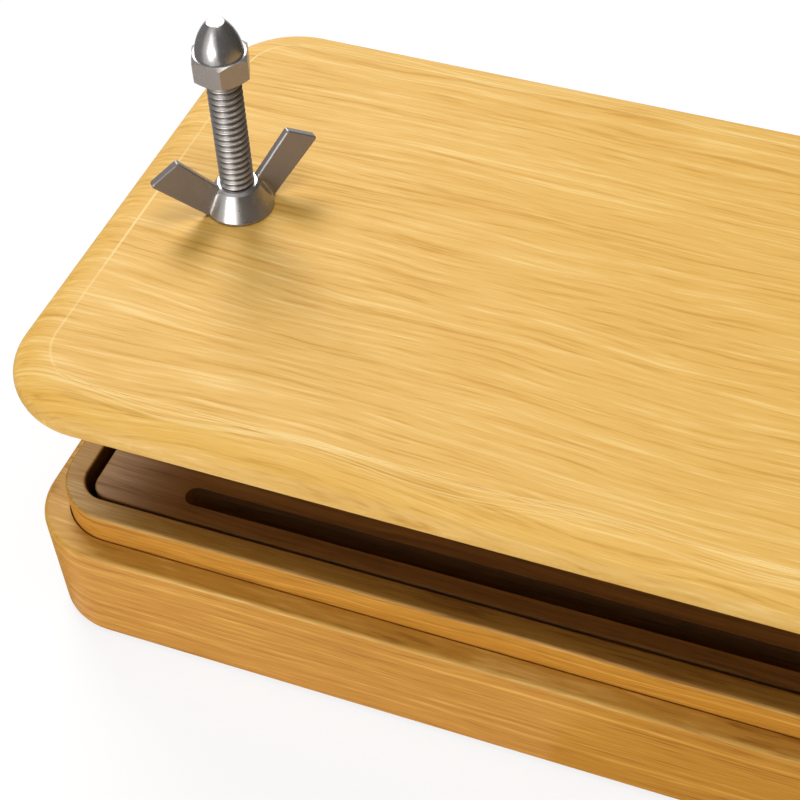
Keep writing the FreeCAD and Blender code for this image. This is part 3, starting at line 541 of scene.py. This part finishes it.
def new_piece(name, bm, material, body):
    """Makes a finished bmesh an object with smooth shading that rides on a body."""
    mesh = bpy.data.meshes.new(name)
    bm.to_mesh(mesh)
    bm.free()
    piece = bpy.data.objects.new(name, mesh)
    bpy.context.scene.collection.objects.link(piece)
    mesh.materials.append(material)
    mesh.shade_smooth()
    mesh.set_sharp_from_angle(angle=radians(SMOOTH_ANGLE))
    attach(piece, body)
    return piece


def merged_copy(node):
    """A bmesh of a CAD node with its loose triangles joined up."""
    bm = bmesh.new()
    bm.from_mesh(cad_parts[node].data)
    bmesh.ops.remove_doubles(bm, verts=bm.verts, dist=0.002 * MM)
    return bm


def cut_level(bm, height, above):
    """Takes away all above or below a level plane and closes the cut."""
    cut = bmesh.ops.bisect_plane(bm, geom=bm.verts[:] + bm.edges[:] + bm.faces[:],
                                 dist=0.0001 * MM, plane_co=(0, 0, height),
                                 plane_no=(0, 0, 1), clear_outer=above, clear_inner=not above)
    rim = [e for e in cut["geom_cut"] if isinstance(e, bmesh.types.BMEdge)]
    bmesh.ops.holes_fill(bm, edges=rim, sides=0)


def helical_thread(axis, low, high, crest_radius, depth, pitch):
    """A right-hand thread between two heights, closed at both ends, as a bmesh."""
    bm = bmesh.new()
    start = Vector((axis.x, axis.y, low - SPARE_TURNS * pitch))
    points = [bm.verts.new(start + Vector((crest_radius - depth * (1 - out), 0, rise * pitch)))
              for rise, out in THREAD_SECTION]
    edges = [bm.edges.new(pair) for pair in zip(points, points[1:])]
    bmesh.ops.spin(bm, geom=points + edges, cent=start, axis=(0, 0, 1),
                   dvec=(0, 0, pitch / THREAD_STEPS), angle=tau, steps=THREAD_STEPS,
                   use_merge=False)
    turns = 1
    while turns * pitch < high - low + 2 * SPARE_TURNS * pitch:
        doubled = bmesh.ops.duplicate(bm, geom=bm.verts[:] + bm.edges[:] + bm.faces[:])
        new_points = [e for e in doubled["geom"] if isinstance(e, bmesh.types.BMVert)]
        bmesh.ops.translate(bm, verts=new_points, vec=(0, 0, turns * pitch))
        turns *= 2
    bmesh.ops.remove_doubles(bm, verts=bm.verts, dist=0.005 * MM)
    cut_level(bm, low, above=False)
    cut_level(bm, high, above=True)
    bmesh.ops.recalc_face_normals(bm, faces=bm.faces)
    return bm


def add_mesh(bm, other):
    """Puts a second bmesh's faces into the first."""
    carrier = bpy.data.meshes.new("carrier")
    other.to_mesh(carrier)
    other.free()
    bm.from_mesh(carrier)
    bpy.data.meshes.remove(carrier)


# ---------------------------------------------------------------- pieces

def bolt_axis(side):
    """The foot of a bolt's axis."""
    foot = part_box(f"press_bolt_{side}")[0]
    low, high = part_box(f"deck_washer_{side}")
    return Vector(((low.x + high.x) / 2, (low.y + high.y) / 2, foot.z))


class TOFU_OT_press_board(bpy.types.Operator):
    """Give the press board its pale, straight-grained wood"""
    bl_idname = "tofu_press.press_board"
    bl_label = "Press Board"

    def execute(self, context):
        settings = context.scene.tofu_press.board
        material = wood("board_wood", settings, squeeze=(1, 1, 0.3))
        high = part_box("press_board")[1]
        # The crease gets a pale line of painted highlight, and pale fibres beside it.
        add_outline(material, group_named("crease_line", crease_line),
                    (high.x - settings.corner, high.y - settings.corner, 0),
                    settings.corner - settings.crease_inset,
                    {"Width": settings.crease_width, "Highlight and Fibres": (*settings.highlight_and_fibres, 1)})
        dress("press_board", material)
        return {"FINISHED"}


class TOFU_OT_base_tray(bpy.types.Operator):
    """Give the base tray and its rim their warm, flat-grained wood"""
    bl_idname = "tofu_press.base_tray"
    bl_label = "Base Tray"

    def execute(self, context):
        settings = context.scene.tofu_press.tray
        flat = (pi / 2, 0, 0)
        tray = wood("tray_wood", settings, turn=flat, squeeze=(1, 0.5, 1))
        # The tray's upward faces get a painted sheen.
        paint_upward_light(tray, LEDGE_TOP_SHEEN)
        dress("base_tray", tray)
        rim = wood("rim_wood", settings, centre=(0.31, 0.07, 0), turn=flat)
        # The rim's top gets painted shade.
        paint_upward_light(rim, RIM_TOP_SHADE)
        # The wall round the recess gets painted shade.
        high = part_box("rim_frame")[1]
        inset = settings.rim_wall + settings.recess_corner
        add_outline(rim, group_named("recess_shading", recess_shading),
                    (high.x - inset, high.y - inset, 0), settings.recess_corner,
                    {"Wall Shade": (*settings.wall_shade, 1)})
        dress("rim_frame", rim)
        return {"FINISHED"}


class TOFU_OT_drain_deck(bpy.types.Operator):
    """Give the drain board and its rails their wood"""
    bl_idname = "tofu_press.drain_deck"
    bl_label = "Drain Deck"

    def execute(self, context):
        settings = context.scene.tofu_press.deck
        # The deck wood's darkness is painted shade.
        dress("drain_board", wood("deck_wood", settings, centre=(0.7, 0.2, 0)))
        rail = wood("rail_wood", settings, centre=(0.2, 0.9, 0), turn=(0, 0, pi / 2))
        for side in SIDES:
            dress(f"cross_rail_{side}", rail)
        return {"FINISHED"}


class TOFU_OT_press_bolts(bpy.types.Operator):
    """Cut the thread of each press bolt above its hexagon head"""
    bl_idname = "tofu_press.press_bolts"
    bl_label = "Press Bolts"

    def execute(self, context):
        settings = context.scene.tofu_press.hardware
        for side in SIDES:
            node = f"press_bolt_{side}"
            axis = bolt_axis(side)
            head_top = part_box(f"head_washer_{side}")[0].z
            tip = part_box(node)[1].z
            bm = merged_copy(node)
            cut_level(bm, head_top, above=True)
            radius, depth = settings.thread_diameter / 2, settings.thread_depth
            add_mesh(bm, helical_thread(axis, head_top - THREAD_RUN_IN, tip,
                                        radius - CREST_CLEARANCE, depth,
                                        settings.thread_pitch))
            # The thread's roots get painted shade, and its crests a painted highlight.
            metal = steel(f"bolt_steel_{side}", axis, settings.root, settings.crest,
                          radius=radius - ROOT_SHADE_SHARE * depth,
                          turned_metal=0.5, outer_metal=0.65, polish=0.32)
            piece = new_piece(f"threaded_bolt_{side}", bm, metal, "deck")
            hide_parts(node)
        return {"FINISHED"}


class TOFU_OT_nuts(bpy.types.Operator):
    """Finish the wing nuts, acorn nuts, lock nuts and washers in satin steel"""
    bl_idname = "tofu_press.nuts"
    bl_label = "Nuts and Washers"

    def execute(self, context):
        settings = context.scene.tofu_press.hardware
        for side in SIDES:
            axis = bolt_axis(side)
            hub_foot = Vector((axis.x, axis.y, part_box(f"wing_nut_{side}")[0].z))
            dress(f"wing_nut_{side}",
                  steel(f"wing_steel_{side}", hub_foot, settings.steel, settings.cast,
                        radius=settings.hub_radius, taper=HUB_TAPER, outer_metal=0.22))
            dress(f"acorn_nut_{side}",
                  steel(f"acorn_steel_{side}", axis, settings.steel, settings.milled,
                        radius=settings.dome_radius))
            plain = steel(f"washer_steel_{side}", axis, settings.steel, settings.milled)
            for kind in ("lock_nut", "deck_washer", "head_washer"):
                dress(f"{kind}_{side}", plain)
        return {"FINISHED"}


class TOFU_OT_feet(bpy.types.Operator):
    """Give the feet their rubber"""
    bl_idname = "tofu_press.feet"
    bl_label = "Rubber Feet"

    def execute(self, context):
        settings = context.scene.tofu_press.hardware
        rubber = finish_material("foot_rubber", group_named("rubber_skin", rubber_skin),
                                 {"Color": (*settings.rubber, 1)}, relief=RUBBER_RELIEF)
        for place in ("front_left", "front_right", "back_left", "back_right"):
            dress(f"rubber_foot_{place}", rubber)
        return {"FINISHED"}


# ---------------------------------------------------------------- studio

def floor_material(settings):
    """A pale floor that keeps the shadows, and is seen and mirrored as nearly white."""
    material = bpy.data.materials.new("studio_floor")
    material.use_nodes = True
    tree = material.node_tree
    shader = tree.nodes["Principled BSDF"]
    shader.inputs["Base Color"].default_value = (*settings.floor, 1)
    shader.inputs["Roughness"].default_value = 0.9
    glow = add_node(tree, "ShaderNodeEmission", {"Color": (1, 1, 1, 1), "Strength": FLOOR_GLOW})
    (near, near_share), (far, far_share) = WHITE_NEAR, WHITE_FAR
    away = vector_maths(tree, "LENGTH", object_place(tree))
    whiteness = remap(tree, away, near, far, near_share, far_share)
    mixed = add_node(tree, "ShaderNodeMixShader",
                     {0: maths(tree, "MULTIPLY", seen_ray(tree), whiteness),
                      1: shader.outputs[0], 2: glow.outputs[0]})
    output = tree.nodes["Material Output"]
    tree.links.new(mixed.outputs[0], output.inputs["Surface"])
    return material


def seen_ray(tree):
    """1 for a ray from the camera, or for one that gloss or glass sends on."""
    rays = add_node(tree, "ShaderNodeLightPath").outputs
    return maths(tree, "MAXIMUM", rays["Is Camera Ray"],
                 maths(tree, "MAXIMUM", rays["Is Glossy Ray"], rays["Is Transmission Ray"]))


def white_world(strength):
    """An even sky, which is white where it is seen or mirrored."""
    world = bpy.data.worlds.new("studio_sky")
    world.use_nodes = True
    tree = world.node_tree
    sky = tree.nodes["Background"]
    sky.inputs["Color"].default_value = (1, 1, 1, 1)
    level = remap(tree, seen_ray(tree), 0.0, 1.0, strength, 1.0)
    tree.links.new(level, sky.inputs["Strength"])
    return world


def area_lamp(name, place, width, height, power):
    """A soft rectangular lamp that faces the middle of the press."""
    data = bpy.data.lights.new(name, "AREA")
    data.shape = "RECTANGLE"
    data.size = width
    data.size_y = height
    data.energy = power
    lamp = bpy.data.objects.new(name, data)
    bpy.context.scene.collection.objects.link(lamp)
    lamp.location = place
    ahead = PRESS_MIDDLE - lamp.location
    lamp.rotation_euler = ahead.to_track_quat("-Z", "Y").to_euler()


def gloss_card(name, first, last, level, inner, height):
    """A curved card round the press, with a foot on the floor, that only gloss sees: a painted
    reflection.
    """
    floor_gap = 0.5 * MM
    bm = bmesh.new()
    section = ((inner, floor_gap), (CARD_RADIUS, floor_gap), (CARD_RADIUS, height))
    points = [bm.verts.new((out, 0, up)) for out, up in section]
    edges = [bm.edges.new(pair) for pair in zip(points, points[1:])]
    bmesh.ops.rotate(bm, verts=points, cent=(0, 0, 0),
                     matrix=Matrix.Rotation(radians(first), 3, "Z"))
    bmesh.ops.spin(bm, geom=points + edges, cent=(0, 0, 0), axis=(0, 0, 1),
                   angle=radians(last - first), steps=CARD_STEPS, use_merge=False)
    mesh = bpy.data.meshes.new(name)
    bm.to_mesh(mesh)
    bm.free()
    material = bpy.data.materials.new(name)
    material.use_nodes = True
    shader = material.node_tree.nodes["Principled BSDF"]
    shader.inputs["Base Color"].default_value = (0, 0, 0, 1)
    shader.inputs["Roughness"].default_value = 1.0
    shader.inputs["Specular IOR Level"].default_value = 0.0
    shader.inputs["Emission Color"].default_value = (1, 1, 1, 1)
    shader.inputs["Emission Strength"].default_value = level
    mesh.materials.append(material)
    card = bpy.data.objects.new(name, mesh)
    bpy.context.scene.collection.objects.link(card)
    for sight in ("camera", "diffuse", "transmission", "volume_scatter", "shadow"):
        setattr(card, f"visible_{sight}", False)


def add_camera():
    """A long lens from above the right of the front, with the left end in view."""
    azimuth, elevation, roll = map(radians, (CAMERA_AZIMUTH, CAMERA_ELEVATION, CAMERA_ROLL))
    back = Vector((sin(azimuth) * cos(elevation), -cos(azimuth) * cos(elevation),
                   sin(elevation)))
    level_right = Vector((cos(azimuth), sin(azimuth), 0))
    level_up = back.cross(level_right)
    right = cos(roll) * level_right + sin(roll) * level_up
    up = cos(roll) * level_up - sin(roll) * level_right
    data = bpy.data.cameras.new("camera")
    data.sensor_width = SENSOR_WIDTH
    data.lens = SENSOR_WIDTH * FOCAL_PIXELS / FRAME_PIXELS
    data.shift_x = 0.5 - AXIS_RIGHT / FRAME_PIXELS
    data.shift_y = AXIS_DOWN / FRAME_PIXELS - 0.5
    camera = bpy.data.objects.new("camera", data)
    bpy.context.scene.collection.objects.link(camera)
    turn = Matrix((right, up, back)).transposed().to_4x4()
    camera.matrix_world = Matrix.Translation(CAMERA_PLACE) @ turn
    bpy.context.scene.camera = camera


class TOFU_OT_studio(bpy.types.Operator):
    """Set up the floor, the lamps, the sky and the camera"""
    bl_idname = "tofu_press.studio"
    bl_label = "Studio"

    def execute(self, context):
        settings = context.scene.tofu_press.studio
        context.scene.view_settings.view_transform = "Standard"
        bm = bmesh.new()
        bmesh.ops.create_circle(bm, cap_ends=True, radius=FLOOR_RADIUS, segments=64)
        mesh = bpy.data.meshes.new("floor")
        bm.to_mesh(mesh)
        bm.free()
        floor = bpy.data.objects.new("floor", mesh)
        mesh.materials.append(floor_material(settings))
        context.scene.collection.objects.link(floor)
        context.scene.world = white_world(settings.sky)
        powers = (settings.key_power, settings.top_power, settings.fill_power)
        for (name, place, width, height), power in zip(LAMPS, powers):
            area_lamp(name, place, width, height, power)
        for card in CARDS:
            gloss_card(*card)
        add_camera()
        return {"FINISHED"}


# ---------------------------------------------------------------- add-on

PIECE_OPERATORS = (
    TOFU_OT_press_board,
    TOFU_OT_base_tray,
    TOFU_OT_drain_deck,
    TOFU_OT_press_bolts,
    TOFU_OT_nuts,
    TOFU_OT_feet,
    TOFU_OT_studio,
)


class TOFU_PT_panel(bpy.types.Panel):
    """The steps that finish the press, in their order"""
    bl_idname = "TOFU_PT_panel"
    bl_label = "Tofu Press"
    bl_space_type = "VIEW_3D"
    bl_region_type = "UI"
    bl_category = "Tofu Press"

    def draw(self, context):
        for operator in PIECE_OPERATORS:
            self.layout.operator(operator.bl_idname)
        settings = context.scene.tofu_press
        for part in (settings.board, settings.tray, settings.deck, settings.hardware,
                     settings.studio):
            box = self.layout.box()
            for name in part.__annotations__:
                box.prop(part, name)


CLASSES = (
    BoardProperties,
    TrayProperties,
    DeckProperties,
    HardwareProperties,
    StudioProperties,
    PressProperties,
    *PIECE_OPERATORS,
    TOFU_PT_panel,
)


def register():
    for made in CLASSES:
        bpy.utils.register_class(made)
    bpy.types.Scene.tofu_press = PointerProperty(type=PressProperties)


def unregister():
    del bpy.types.Scene.tofu_press
    for made in reversed(CLASSES):
        bpy.utils.unregister_class(made)


def main():
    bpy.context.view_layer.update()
    register()
    bpy.ops.tofu_press.press_board()
    bpy.ops.tofu_press.base_tray()
    bpy.ops.tofu_press.drain_deck()
    bpy.ops.tofu_press.press_bolts()
    bpy.ops.tofu_press.nuts()
    bpy.ops.tofu_press.feet()
    bpy.ops.tofu_press.studio()


if __name__ == "__main__":
    main()
